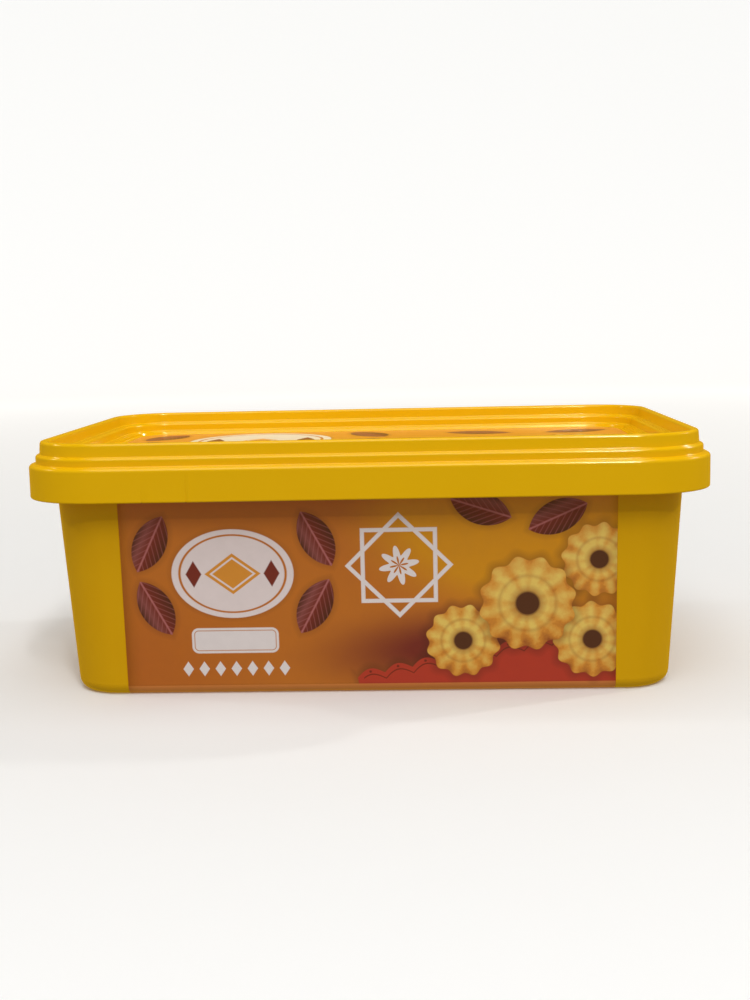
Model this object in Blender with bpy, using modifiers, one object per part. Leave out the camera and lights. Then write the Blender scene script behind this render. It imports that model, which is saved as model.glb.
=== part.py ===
"""A shut rectangular food tub with a push-on lid and moulded-in labels. Metres, +Z up, its long front faces -Y."""

import math

import bmesh
import bpy

# The lid's outside, measured over its skirt
LID_WIDTH = 0.2200
LID_DEPTH = 0.1500
LID_CORNER = 0.0255

# Heights above the table
FOOT_RISE = 0.0012
COLLAR_UNDER = 0.0713
SKIRT_BOTTOM = 0.0644
SKIRT_TOP = 0.0751
OUTER_STEP = 0.0781
CREST = 0.0827
INNER_STEP = 0.0785
INNER_SHELF = 0.0753
PANEL = 0.0743
LID_UNDER = 0.0730

# How far each feature of the lid lies inside the skirt's outer face
SKIRT_WALL = 0.0013
OUTER_BAND_IN = 0.0022
CREST_OUTER_IN = 0.0038
CREST_INNER_IN = 0.0064
INNER_BAND_IN = 0.0094
SHELF_EDGE_IN = 0.0120
PANEL_EDGE_IN = 0.0124
LID_DRAFT = 0.0003

# Radii of the lid's ledges and of the hollows between them
CREST_RADIUS = 0.0010
LEDGE_RADIUS = 0.0009
FILLET_RADIUS = 0.0004
SHELF_RADIUS = 0.0003

# The tub's wall, at the height of the skirt's lower edge and at the base
TUB_TOP_IN = 0.0085
TUB_TOP_CORNER = 0.0175
TUB_BASE_IN = 0.0122
TUB_BASE_CORNER = 0.0156
BASE_ROUNDING = 0.0038
FOOT_WIDTH = 0.0070
FOOT_SLOPE = 0.0008
COLLAR_IN = 0.0017

# The labels and the shallow pockets that they lie in
GAP = 0.0003
FILM = 0.0003
FILM_DEPTH = 0.0002
LABEL_WIDTH = 0.1572
LABEL_TOP = 0.0690
LABEL_TUCK = 0.0030
LID_LABEL_IN = 0.0145

# The tear strip in the skirt, left of the middle of the front
TEAR_LEFT = -0.0691
TEAR_WIDTH = 0.0139
TEAR_LINE_WIDTH = 0.0005
TEAR_LINE_DEPTH = 0.0004
TEAR_LINE_STOP = 0.0015
CUTTER_REACH = 0.0020

CORNER_SEGMENTS = 9
EDGE_SEGMENTS = 2
BASE_SEGMENTS = 3 * EDGE_SEGMENTS
SHARP_ANGLE = math.radians(35)

PLASTIC_ROUGHNESS = 0.35
FILM_ROUGHNESS = 0.40
YELLOW = (0.86, 0.50, 0.004)
LABEL_BROWN = (0.46, 0.17, 0.024)
LID_LABEL_ORANGE = (0.78, 0.30, 0.055)


def clear_scene():
    for obj in list(bpy.data.objects):
        bpy.data.objects.remove(obj, do_unlink=True)


def new_collection(name):
    collection = bpy.data.collections.new(name)
    bpy.context.scene.collection.children.link(collection)
    return collection


def plastic(name, colour, roughness):
    material = bpy.data.materials.new(name)
    material.use_nodes = True
    shader = material.node_tree.nodes["Principled BSDF"]
    shader.inputs["Base Color"].default_value = (*colour, 1.0)
    shader.inputs["Roughness"].default_value = roughness
    shader.inputs["Metallic"].default_value = 0.0
    return material


def object_from(bm, name, collection, material=None):
    """Turns a bmesh into a smooth-shaded object of the collection."""
    bmesh.ops.recalc_face_normals(bm, faces=bm.faces)
    mesh = bpy.data.meshes.new(name)
    bm.to_mesh(mesh)
    bm.free()
    mesh.shade_smooth()
    mesh.set_sharp_from_angle(angle=SHARP_ANGLE)
    obj = bpy.data.objects.new(name, mesh)
    if material:
        mesh.materials.append(material)
    collection.objects.link(obj)
    return obj


def rounded_corners(corners, segments):
    """The profile through these (x, y, radius) corners, each inner one turned by an arc of its radius."""
    points = [corners[0][:2]]
    for before, here, after in zip(corners, corners[1:], corners[2:]):
        to_before = math.atan2(before[1] - here[1], before[0] - here[0])
        to_after = math.atan2(after[1] - here[1], after[0] - here[0])
        turn = (to_after - to_before + math.pi) % (2 * math.pi) - math.pi
        half = abs(turn) / 2
        middle = to_before + turn / 2
        centre_x = here[0] + math.cos(middle) * here[2] / math.sin(half)
        centre_y = here[1] + math.sin(middle) * here[2] / math.sin(half)
        sweep = math.copysign(math.pi / 2 - half, turn)
        for step in range(segments + 1):
            angle = middle + math.pi + sweep * (1 - 2 * step / segments)
            points.append((centre_x + here[2] * math.cos(angle), centre_y + here[2] * math.sin(angle)))
    points.append(corners[-1][:2])
    return points


def rounded_rectangle(half_x, half_y, radius):
    """The outline's points, anticlockwise from the +X side."""
    points = []
    quarter = math.pi / 2
    for turn, (side_x, side_y) in enumerate(((1, 1), (-1, 1), (-1, -1), (1, -1))):
        for step in range(CORNER_SEGMENTS + 1):
            angle = quarter * (turn + step / CORNER_SEGMENTS)
            x = side_x * (half_x - radius) + radius * math.cos(angle)
            y = side_y * (half_y - radius) + radius * math.sin(angle)
            points.append((x, y))
    return points


def loft(sections, name, collection, material):
    """Skins a stack of (inset from the skirt, corner radius, height) sections and caps both ends."""
    bm = bmesh.new()
    rings = []
    for inset, radius, height in sections:
        outline = rounded_rectangle(LID_WIDTH / 2 - inset, LID_DEPTH / 2 - inset, radius)
        rings.append([bm.verts.new((x, y, height)) for x, y in outline])
    for lower, upper in zip(rings, rings[1:]):
        for i in range(len(lower)):
            j = (i + 1) % len(lower)
            bm.faces.new((lower[i], lower[j], upper[j], upper[i]))
    bm.faces.new(rings[0])
    bm.faces.new(rings[-1])
    return object_from(bm, name, collection, material)


def box(name, collection, low, high):
    """A cutter between two corners."""
    bm = bmesh.new()
    bmesh.ops.create_cube(bm, size=1.0)
    size = [b - a for a, b in zip(low, high)]
    middle = [(a + b) / 2 for a, b in zip(low, high)]
    bmesh.ops.scale(bm, vec=size, verts=bm.verts)
    bmesh.ops.translate(bm, vec=middle, verts=bm.verts)
    return object_from(bm, name, collection)


def as_cutter(obj, target):
    """Hides the object and cuts it from the target."""
    obj.hide_render = True
    obj.display_type = "WIRE"
    modifier = target.modifiers.new(obj.name, "BOOLEAN")
    modifier.operation = "DIFFERENCE"
    modifier.solver = "EXACT"
    modifier.object = obj


def tub_inset(height):
    """The drafted wall's inset from the skirt's outer face at a height."""
    draft = (TUB_BASE_IN - TUB_TOP_IN) / (SKIRT_BOTTOM - BASE_ROUNDING)
    return TUB_BASE_IN - draft * (height - BASE_ROUNDING)


def wall_radius(height):
    """The tub's corner radius, which grows from the base up."""
    growth = (TUB_TOP_CORNER - TUB_BASE_CORNER) / (SKIRT_BOTTOM - BASE_ROUNDING)
    return TUB_BASE_CORNER + growth * (height - BASE_ROUNDING)


def make_tub(parts):
    """The filled tub as one solid: a foot ring, a rounded base, drafted walls and a collar under the lid."""
    foot_in = TUB_BASE_IN + BASE_ROUNDING + FOOT_WIDTH
    profile = [(foot_in + FOOT_SLOPE, FOOT_RISE), (foot_in, 0.0)]
    for step in range(BASE_SEGMENTS + 1):
        angle = math.pi / 2 * step / BASE_SEGMENTS
        inset = TUB_BASE_IN + BASE_ROUNDING * (1 - math.sin(angle))
        profile.append((inset, BASE_ROUNDING * (1 - math.cos(angle))))
    sections = [(inset, TUB_BASE_CORNER - (inset - TUB_BASE_IN), z) for inset, z in profile]
    sections.append((tub_inset(COLLAR_UNDER), wall_radius(COLLAR_UNDER), COLLAR_UNDER))
    collar_corner = LID_CORNER - COLLAR_IN
    sections.append((COLLAR_IN, collar_corner, COLLAR_UNDER))
    sections.append((COLLAR_IN, collar_corner, LID_UNDER - GAP))
    return loft(sections, "tub", parts, plastic("tub_yellow", YELLOW, PLASTIC_ROUGHNESS))


def lid_profile():
    """(inset, height) from the middle of the underside, down the skirt, over the crest and onto the panel."""
    pocket_in = LID_LABEL_IN - GAP
    pocket = PANEL - FILM - GAP
    underside = (SKIRT_WALL + LID_DRAFT, LID_UNDER)
    outside = rounded_corners(
        [
            (SKIRT_WALL, SKIRT_BOTTOM, 0),
            (0.0, SKIRT_BOTTOM, FILLET_RADIUS),
            (0.0, SKIRT_TOP, CREST_RADIUS),
            (OUTER_BAND_IN, SKIRT_TOP + LID_DRAFT, FILLET_RADIUS),
            (OUTER_BAND_IN, OUTER_STEP, LEDGE_RADIUS),
            (CREST_OUTER_IN - LID_DRAFT, OUTER_STEP + LID_DRAFT, FILLET_RADIUS),
            (CREST_OUTER_IN, CREST, CREST_RADIUS),
            (CREST_INNER_IN, CREST, CREST_RADIUS),
            (CREST_INNER_IN + 2 * LID_DRAFT, INNER_STEP + LID_DRAFT, FILLET_RADIUS),
            (INNER_BAND_IN, INNER_STEP, LEDGE_RADIUS),
            (INNER_BAND_IN + LID_DRAFT, INNER_SHELF + LID_DRAFT, FILLET_RADIUS),
            (SHELF_EDGE_IN, INNER_SHELF, SHELF_RADIUS),
            (PANEL_EDGE_IN, PANEL, SHELF_RADIUS / 2),
            (pocket_in, PANEL, 0),
        ],
        EDGE_SEGMENTS,
    )
    return [underside] + outside + [(pocket_in, pocket)]


def make_lid(parts, cutters):
    """The lid: a skirt, two outer steps, a narrow crest, two inner steps and a sunk panel."""
    sections = [(inset, LID_CORNER - inset, z) for inset, z in lid_profile()]
    lid = loft(sections, "lid", parts, plastic("lid_yellow", YELLOW, PLASTIC_ROUGHNESS))
    for side, left in enumerate((TEAR_LEFT, TEAR_LEFT + TEAR_WIDTH)):
        line = box(
            f"tear_line_{side}",
            cutters,
            (left - TEAR_LINE_WIDTH / 2, -LID_DEPTH / 2 - CUTTER_REACH, SKIRT_BOTTOM - CUTTER_REACH),
            (left + TEAR_LINE_WIDTH / 2, TEAR_LINE_DEPTH - LID_DEPTH / 2, SKIRT_TOP - TEAR_LINE_STOP),
        )
        as_cutter(line, lid)
    return lid


def wall_path(depth, top, tuck):
    """(y, z) down the front wall, round the base and under it, at a depth below the tub's surface."""
    wall_foot = TUB_BASE_IN - LID_DEPTH / 2
    slope = math.atan((TUB_BASE_IN - TUB_TOP_IN) / (SKIRT_BOTTOM - BASE_ROUNDING))
    points = [(tub_inset(top) - LID_DEPTH / 2 + depth / math.cos(slope), top)]
    radius = BASE_ROUNDING - depth
    for step in range(BASE_SEGMENTS + 1):
        angle = math.pi / 2 * step / BASE_SEGMENTS
        y = wall_foot + BASE_ROUNDING - radius * math.cos(angle)
        points.append((y, BASE_ROUNDING - radius * math.sin(angle)))
    points.append((wall_foot + BASE_ROUNDING + tuck, depth))
    return points


def wall_strip(name, collection, path, half_width, thickness, material=None):
    """A sheet along the path, given its thickness towards the outside."""
    bm = bmesh.new()
    left = [bm.verts.new((-half_width, y, z)) for y, z in path]
    right = [bm.verts.new((half_width, y, z)) for y, z in path]
    for i in range(len(path) - 1):
        bm.faces.new((left[i + 1], right[i + 1], right[i], left[i]))
    mesh = bpy.data.meshes.new(name)
    bm.to_mesh(mesh)
    bm.free()
    obj = bpy.data.objects.new(name, mesh)
    if material:
        mesh.materials.append(material)
    collection.objects.link(obj)
    solidify = obj.modifiers.new("thickness", "SOLIDIFY")
    solidify.thickness = thickness
    solidify.offset = 1.0
    solidify.use_even_offset = True
    return obj


def make_wall_labels(parts, cutters, tub):
    """The front and back labels, each in a pocket that runs round the base's edge."""
    film_path = wall_path(FILM_DEPTH + FILM, LABEL_TOP, LABEL_TUCK)
    pocket_path = wall_path(FILM_DEPTH + FILM + GAP, LABEL_TOP + GAP, LABEL_TUCK + GAP)
    for name, turn in (("front_label", 0.0), ("back_label", math.pi)):
        film = plastic(name, LABEL_BROWN, FILM_ROUGHNESS)
        label = wall_strip(name, parts, film_path, LABEL_WIDTH / 2, FILM, film)
        pocket = wall_strip(
            f"{name}_pocket", cutters, pocket_path, LABEL_WIDTH / 2 + GAP, BASE_ROUNDING / 2
        )
        label.rotation_euler.z = turn
        pocket.rotation_euler.z = turn
        as_cutter(pocket, tub)


def make_lid_label(parts):
    """The label on the lid's sunk panel, level with the panel's border."""
    radius = LID_CORNER - LID_LABEL_IN
    sections = [(LID_LABEL_IN, radius, PANEL - FILM), (LID_LABEL_IN, radius, PANEL)]
    return loft(sections, "lid_label", parts, plastic("lid_label", LID_LABEL_ORANGE, FILM_ROUGHNESS))


def main():
    clear_scene()
    parts = new_collection("lidded_plastic_food_tub")
    cutters = new_collection("cutters")
    cutters.hide_render = True
    tub = make_tub(parts)
    make_lid(parts, cutters)
    make_wall_labels(parts, cutters, tub)
    make_lid_label(parts)


main()
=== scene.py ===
"""The looks of a shut yellow food tub: moulded lid and tub, printed films, studio and viewpoint.

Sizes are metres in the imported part's frame: +X along the long side, +Z up, the front at -Y. Print is
laid out in millimetres. Insets are measured inwards from the outer face of the lid's skirt.
"""
import logging
import math
from dataclasses import dataclass
from enum import Enum
from typing import Any, Callable, Mapping, Sequence, Union

import bpy
import numpy as np
from mathutils import Matrix, Vector


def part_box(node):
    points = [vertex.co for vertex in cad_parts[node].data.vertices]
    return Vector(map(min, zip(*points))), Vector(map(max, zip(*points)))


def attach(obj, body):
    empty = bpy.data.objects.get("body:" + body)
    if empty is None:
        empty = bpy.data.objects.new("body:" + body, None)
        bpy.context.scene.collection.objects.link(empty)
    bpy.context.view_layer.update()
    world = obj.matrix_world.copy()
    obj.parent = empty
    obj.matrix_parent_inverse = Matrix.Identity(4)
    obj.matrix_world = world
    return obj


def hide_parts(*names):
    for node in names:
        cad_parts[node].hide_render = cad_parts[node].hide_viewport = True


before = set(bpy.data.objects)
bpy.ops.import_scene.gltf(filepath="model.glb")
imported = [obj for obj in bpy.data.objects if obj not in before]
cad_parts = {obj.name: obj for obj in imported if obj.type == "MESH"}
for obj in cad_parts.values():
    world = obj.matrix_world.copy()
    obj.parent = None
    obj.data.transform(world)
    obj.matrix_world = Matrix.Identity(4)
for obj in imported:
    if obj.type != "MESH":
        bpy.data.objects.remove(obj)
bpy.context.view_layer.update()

Array = np.ndarray
Colour = tuple[float, float, float]
Pair = tuple[float, float]

# What shader maths takes, and what print is laid with
Value = Union["Level", float]
Paint = Union["Level", Colour]

LOG = logging.getLogger("tub")
BODY = "root"
MILLIMETRES = 1000.0
QUARTER = math.pi / 2
SHARP_ANGLE = math.radians(38)
PLASTIC_IOR = 1.49

# Steps in a profile's arc, and in an outline's corner
ARC_STEPS = 6
CORNER_STEPS = 22

# The longest uncut run, and how close the guard points stand to a run's ends
LONGEST_RUN = 0.006
GUARD = 0.00006

# The shortest run that gets guard points, and the least turn that is rounded
SHORTEST_RUN = 4 * GUARD
LEAST_TURN = 0.0001

# A place past every edge, for columns that turn a corner, and the digits that a place keeps
FAR = 1.0
PLACE_DIGITS = 7


@dataclass(frozen=True)
class Corner:
    """A corner of a profile: its inset, its height and the radius that rounds it."""

    inset: float
    height: float
    rounding: float = 0.0


@dataclass(frozen=True)
class Footprint:
    """The outline of the lid's skirt in plan, which every inset is measured from."""

    half_width: float
    half_depth: float
    corner: float = 0.0255

    @classmethod
    def of_node(cls, node: str) -> "Footprint":
        """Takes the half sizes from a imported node's box."""
        low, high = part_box(node)
        return cls((high.x - low.x) / 2, (high.y - low.y) / 2)


def run_between(start: Array, end: Array, longest: float) -> Array:
    """Cuts a straight run, with a close point beside each end to keep its shading flat.

    The points stand at start + share * (end - start). The shares are 0, a guard's length, equal
    lengths no longer than `longest`, a guard's length before the end, and 1.

    Args:
        start: first point of the run.
        end: last point of the run.
        longest: the longest stretch to leave uncut.

    Returns:
        The points, one a row, without the two ends themselves.
    """
    length = float(np.linalg.norm(end - start))
    if length < SHORTEST_RUN:
        return np.empty((0, len(start)))
    inner = np.linspace(GUARD / length, 1 - GUARD / length, max(2, math.ceil(length / longest) + 1))
    return start + inner[:, None] * (end - start)


def trace(corners: Sequence[Corner], longest: float = LONGEST_RUN) -> Array:
    """Turns a list of corners into a smooth profile.

    Each inner corner becomes an arc that touches both of its runs. The arc's centre stands on the
    bisector at rounding / sin(half the corner's angle), and its points turn evenly between the two
    spokes that meet the runs, each the sine-weighted mean of those spokes.

    Args:
        corners: the profile's corners in order; the first and last stay sharp.
        longest: the longest stretch of a run to leave uncut.

    Returns:
        Rows of (inset, height).
    """
    points = np.array([(corner.inset, corner.height) for corner in corners])
    arcs = [points[:1]]
    for before, here, after, corner in zip(points, points[1:], points[2:], corners[1:]):
        arm_in = (before - here) / np.linalg.norm(before - here)
        arm_out = (after - here) / np.linalg.norm(after - here)
        half = math.acos(float(np.clip(arm_in @ arm_out, -1, 1))) / 2
        if corner.rounding == 0 or half > QUARTER - LEAST_TURN:
            arcs.append(here[None])
            continue
        bisector = (arm_in + arm_out) / np.linalg.norm(arm_in + arm_out)
        centre = here + bisector * corner.rounding / math.sin(half)
        reach = corner.rounding / math.tan(half)
        spoke_in, spoke_out = here + arm_in * reach - centre, here + arm_out * reach - centre
        sweep = math.pi - 2 * half
        share = np.linspace(0, 1, ARC_STEPS + 1)[:, None]
        spokes = np.sin((1 - share) * sweep) * spoke_in + np.sin(share * sweep) * spoke_out
        arcs.append(centre + spokes / math.sin(sweep))
    arcs.append(points[-1:])
    whole = [arcs[0]]
    for last, following in zip(arcs, arcs[1:]):
        whole += [run_between(last[-1], following[0], longest), following]
    return np.concatenate(whole)


def outward(profile: Array) -> Array:
    """The unit normal of a profile that runs up an outer wall, as (away from the middle, up)."""
    # Its direction turned a quarter clockwise: (height's change, inset's change) over the length
    change = np.gradient(profile, axis=0)
    return np.stack([change[:, 1], change[:, 0]], axis=1) / np.linalg.norm(change, axis=1)[:, None]


@dataclass(frozen=True)
class Columns:
    """Where an outline is cut, anticlockwise from its +X side.

    `angle` is the outline's normal at each column, `side` says which corner's centre it turns about,
    and `fixed` is its set place along a straight side, or nan on a corner's arc.
    """

    angle: Array
    side: Array
    fixed: Array

    @classmethod
    def between(cls, marks_x: Array, marks_y: Array) -> "Columns":
        """Lays columns at these places along the straight sides and evenly round the corners.

        Args:
            marks_x: rising places along the front and back.
            marks_y: rising places along the left and right.

        Returns:
            The columns of the whole outline.
        """
        angles, sides, places = [], [], []
        runs = (
            (0, 1, marks_y, 1),
            (1, 1, marks_x[::-1], 0),
            (2, -1, marks_y[::-1], 1),
            (3, -1, marks_x, 0),
        )
        corners = ((1, 1), (-1, 1), (-1, -1), (1, -1))
        for (turn, sign, marks, axis), corner in zip(runs, corners):
            place = np.full((len(marks), 2), np.nan)
            place[:, axis] = marks
            angles += [np.full(len(marks), turn * QUARTER)]
            angles += [np.linspace(turn, turn + 1, CORNER_STEPS + 1) * QUARTER]
            sides += [np.full((len(marks), 2), float(sign)), np.tile(corner, (CORNER_STEPS + 1, 1))]
            places += [place, np.full((CORNER_STEPS + 1, 2), np.nan)]
        return cls(np.concatenate(angles), np.concatenate(sides), np.concatenate(places))

    def rings(
        self,
        footprint: Footprint,
        profile: Array,
        radius: Array,
        relief: Array | float = 0.0,
    ) -> Array:
        """Carries a profile round a rounded rectangle.

        A point is its corner's centre, or its fixed place, plus the corner radius along the
        column's normal. Relief then moves it inwards, against the profile's own normal.

        Args:
            footprint: the outline that insets are measured from.
            profile: rows of (inset, height), one a ring.
            radius: the plan radius of each ring's corners.
            relief: how deep each ring's points are sunk, one number or rings by columns.

        Returns:
            Points as rings by columns by three.
        """
        half = np.array([footprint.half_width, footprint.half_depth]) - profile[:, :1]
        centre = self.side[None] * (half - radius[:, None])[:, None]
        centre = np.where(np.isnan(self.fixed)[None], centre, self.fixed[None])
        heading = np.stack([np.cos(self.angle), np.sin(self.angle)], axis=1)[None]
        normal = outward(profile)
        sunk = np.broadcast_to(relief, (len(profile), len(self.angle)))
        reach = radius[:, None] - sunk * normal[:, :1]
        height = profile[:, 1:] - sunk * normal[:, 1:]
        return np.concatenate([centre + heading * reach[..., None], height[..., None]], axis=2)


def spaced(reach: float, marks: Sequence[float] = ()) -> Array:
    """Even places from -reach to reach, at most the longest run apart, with extra marks among them."""
    even = np.linspace(-reach, reach, 2 * math.ceil(reach / LONGEST_RUN) + 1)
    return np.unique(np.round(np.concatenate([even, np.array(marks, float)]), PLACE_DIGITS))


def grid_faces(rows: int, columns: int, wraps: bool) -> Array:
    """The four-sided faces of a grid, wound so that they face outwards where rows climb.

    Face (r, c) joins points (r, c), (r, c + 1), (r + 1, c + 1) and (r + 1, c).

    Args:
        rows: how many rows of points the grid has.
        columns: how many columns it has.
        wraps: whether the last column joins the first.

    Returns:
        Rows of four point numbers.
    """
    steps = columns if wraps else columns - 1
    row, column = np.meshgrid(np.arange(rows - 1), np.arange(steps), indexing="ij")
    following = (column + 1) % columns
    near, far = row * columns, (row + 1) * columns
    corners = [near + column, near + following, far + following, far + column]
    return np.stack(corners, axis=-1).reshape(-1, 4)


class Ends(Enum):
    """Which of a grid's end rows are closed by a face."""

    NEITHER = 0
    FIRST = 1
    BOTH = 2


def surface(name: str, grid: Array, wraps: bool, ends: Ends) -> bpy.types.Object:
    """Puts a grid of points into a new smooth mesh object.

    Args:
        name: the piece's name.
        grid: points as rows by columns by three.
        wraps: whether the last column joins the first.
        ends: which end rows are closed.

    Returns:
        The object, at the origin, with its place in its mesh.
    """
    rows, columns = grid.shape[:2]
    faces = grid_faces(rows, columns, wraps).tolist()
    if ends is not Ends.NEITHER:
        faces.append(list(range(columns))[::-1])
    if ends is Ends.BOTH:
        faces.append(list(range((rows - 1) * columns, rows * columns)))
    mesh = bpy.data.meshes.new(name)
    mesh.from_pydata(grid.reshape(-1, 3), [], faces)
    mesh.shade_smooth()
    mesh.set_sharp_from_angle(angle=SHARP_ANGLE)
    piece = bpy.data.objects.new(name, mesh)
    bpy.context.scene.collection.objects.link(piece)
    return piece


def place_piece(piece: bpy.types.Object, finish: bpy.types.Material, node: str) -> None:
    """Dresses a piece and sets what it rides on.

    Args:
        piece: the finished mesh object.
        finish: its material.
        node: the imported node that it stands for.
    """
    piece.data.materials.append(finish)
    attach(piece, BODY)
    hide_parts(node)
    LOG.info("%s: %d faces, stands for %s", piece.name, len(piece.data.polygons), node)


class Level:
    """A varying value in a shader. Python's operators on it add Math nodes."""

    def __init__(self, graph: "Graph", socket: bpy.types.NodeSocket) -> None:
        """Keeps the socket that gives the value, and the graph it lies in."""
        self.graph = graph
        self.socket = socket

    def math(self, operation: str, *values: Value, clamp: bool = False) -> "Level":
        """Adds a Math node on these values, in order."""
        settings = {"operation": operation, "use_clamp": clamp}
        return self.graph.node("ShaderNodeMath", settings, dict(enumerate(values)))

    def __add__(self, other: Value) -> "Level":
        """This plus another."""
        return self.math("ADD", self, other)

    __radd__ = __add__

    def __mul__(self, other: Value) -> "Level":
        """This times another."""
        return self.math("MULTIPLY", self, other)

    __rmul__ = __mul__

    def __sub__(self, other: Value) -> "Level":
        """This less another."""
        return self.math("SUBTRACT", self, other)

    def __rsub__(self, other: Value) -> "Level":
        """Another less this."""
        return self.math("SUBTRACT", other, self)

    def __truediv__(self, other: Value) -> "Level":
        """This over another."""
        return self.math("DIVIDE", self, other)

    def __rtruediv__(self, other: Value) -> "Level":
        """Another over this."""
        return self.math("DIVIDE", other, self)

    def __pow__(self, power: float) -> "Level":
        """This to a power."""
        return self.math("POWER", self, power)

    def __abs__(self) -> "Level":
        """This without its sign."""
        return self.math("ABSOLUTE", self)

    def least(self, other: Value) -> "Level":
        """The smaller of this and another."""
        return self.math("MINIMUM", self, other)

    def most(self, other: Value) -> "Level":
        """The larger of this and another."""
        return self.math("MAXIMUM", self, other)

    def sine(self) -> "Level":
        """The sine of this, in radians."""
        return self.math("SINE", self)

    def bearing(self, across: "Level") -> "Level":
        """The angle of the point (across, this), in radians."""
        return self.math("ARCTAN2", self, across)

    def clamped(self) -> "Level":
        """This, kept from 0 to 1."""
        return self.math("MULTIPLY", self, 1.0, clamp=True)

    def hypotenuse(self, other: "Level") -> "Level":
        """The root of this squared plus another squared."""
        return (self * self + other * other) ** 0.5


class Graph:
    """The nodes of one material."""

    def __init__(self, name: str) -> None:
        """Starts a new material that holds only its shader and its output.

        Args:
            name: the material's name.
        """
        self.material = bpy.data.materials.new(name)
        self.material.use_nodes = True
        self.tree = self.material.node_tree
        self.shader = self.tree.nodes["Principled BSDF"]

    def node(
        self,
        kind: str,
        settings: Mapping[str, Any] | None = None,
        values: Mapping[int | str, Any] | None = None,
        output: int | str = 0,
    ) -> Level:
        """Adds any node.

        Args:
            kind: the node's type.
            settings: its own settings, set first; `stops` fills a ramp with (place, colour) pairs.
            values: numbers, colours or other levels for its sockets, by name or number.
            output: the socket to hand back.

        Returns:
            The output as a level.
        """
        made = self.tree.nodes.new(kind)
        for key, setting in (settings or {}).items():
            if key == "stops":
                self.fill_ramp(made.color_ramp, setting)
            else:
                setattr(made, key, setting)
        for key, value in (values or {}).items():
            self.feed(made.inputs[key], value)
        return Level(self, made.outputs[output])

    @staticmethod
    def fill_ramp(ramp: bpy.types.ColorRamp, stops: Sequence[tuple[float, Colour]]) -> None:
        """Gives a ramp its stops.

        Args:
            ramp: the ramp to fill.
            stops: a place from 0 to 1 and a colour for each stop.
        """
        while len(ramp.elements) < len(stops):
            ramp.elements.new(1.0)
        for element, (place, colour) in zip(ramp.elements, stops):
            element.position = place
            element.color = (*colour, 1.0)

    def feed(self, socket: bpy.types.NodeSocket, value: Any) -> None:
        """Links a level to a socket, or sets a number or a colour on it.

        Args:
            socket: the node's input.
            value: the level, number, colour or vector that it takes.
        """
        if isinstance(value, Level):
            self.tree.links.new(value.socket, socket)
        elif isinstance(value, tuple) and socket.type == "RGBA":
            socket.default_value = (*value, 1.0)
        else:
            socket.default_value = value

    def set(self, **values: Any) -> None:
        """Feeds the shader's sockets.

        Args:
            values: what each socket takes, under its name in small letters with underscores.
        """
        for key, value in values.items():
            name = "IOR" if key == "ior" else key.replace("_", " ").title()
            self.feed(self.shader.inputs[name], value)

    def object_point(self) -> Level:
        """The shading point in the part's own frame, in metres."""
        return self.node("ShaderNodeTexCoord", output="Object")

    def parts_of(self, vector: Level) -> tuple[Level, Level, Level]:
        """The X, Y and Z of a vector."""
        split = self.node("ShaderNodeSeparateXYZ", values={0: vector}).socket.node
        return tuple(Level(self, socket) for socket in split.outputs)

    def noise(self, point: Level, scale: float, detail: float = 2.0, roughness: float = 0.5) -> Level:
        """Soft noise around one half."""
        values = {"Vector": point, "Scale": scale, "Detail": detail, "Roughness": roughness}
        return self.node("ShaderNodeTexNoise", values=values)

    def mixed(self, share: Value, under: Paint, over: Paint) -> Level:
        """One colour laid over another by a share from 0 to 1."""
        return self.node("ShaderNodeMix", {"data_type": "RGBA"}, {0: share, 6: under, 7: over}, output=2)

    def bumped(self, height: Level, distance: float, strength: float) -> Level:
        """A normal bent by a height that spans a distance in metres."""
        values = {"Height": height, "Distance": distance, "Strength": strength}
        return self.node("ShaderNodeBump", values=values)


@dataclass(frozen=True)
class MouldedPlastic:
    """Injection-moulded polypropylene: gently wavy, faintly mottled and softly glossy."""

    name: str
    colour: Colour
    deep_colour: Colour
    roughness: float
    coat: float
    coat_roughness: float = 0.07
    gloss_tint: Colour = (1.0, 0.92, 0.40)
    wave_height: float = 0.0004
    grain_height: float = 0.00002
    wave_scale: float = 26.0
    mottle_scale: float = 70.0
    grain_scale: float = 2600.0
    roughness_spread: float = 0.06
    mottle_share: float = 0.6

    def make(self) -> bpy.types.Material:
        """Builds the material: mottle in colour and gloss, long waves and a fine grain in the surface.

        Returns:
            The finished material.
        """
        graph = Graph(self.name)
        point = graph.object_point()
        mottle = graph.noise(point, self.mottle_scale, detail=4.0)
        waves = graph.noise(point, self.wave_scale, detail=1.0)
        grain = graph.noise(point, self.grain_scale, detail=1.0)
        tone = mottle * self.mottle_share + waves * (1 - self.mottle_share)
        rough = self.roughness + (mottle - 0.5) * self.roughness_spread
        relief = waves * self.wave_height + grain * self.grain_height
        graph.set(
            base_color=graph.mixed(tone.clamped(), self.deep_colour, self.colour),
            roughness=rough,
            ior=PLASTIC_IOR,
            specular_tint=self.gloss_tint,
            coat_weight=self.coat,
            coat_roughness=self.coat_roughness,
            normal=graph.bumped(relief, 1.0, 1.0),
        )
        return graph.material


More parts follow.
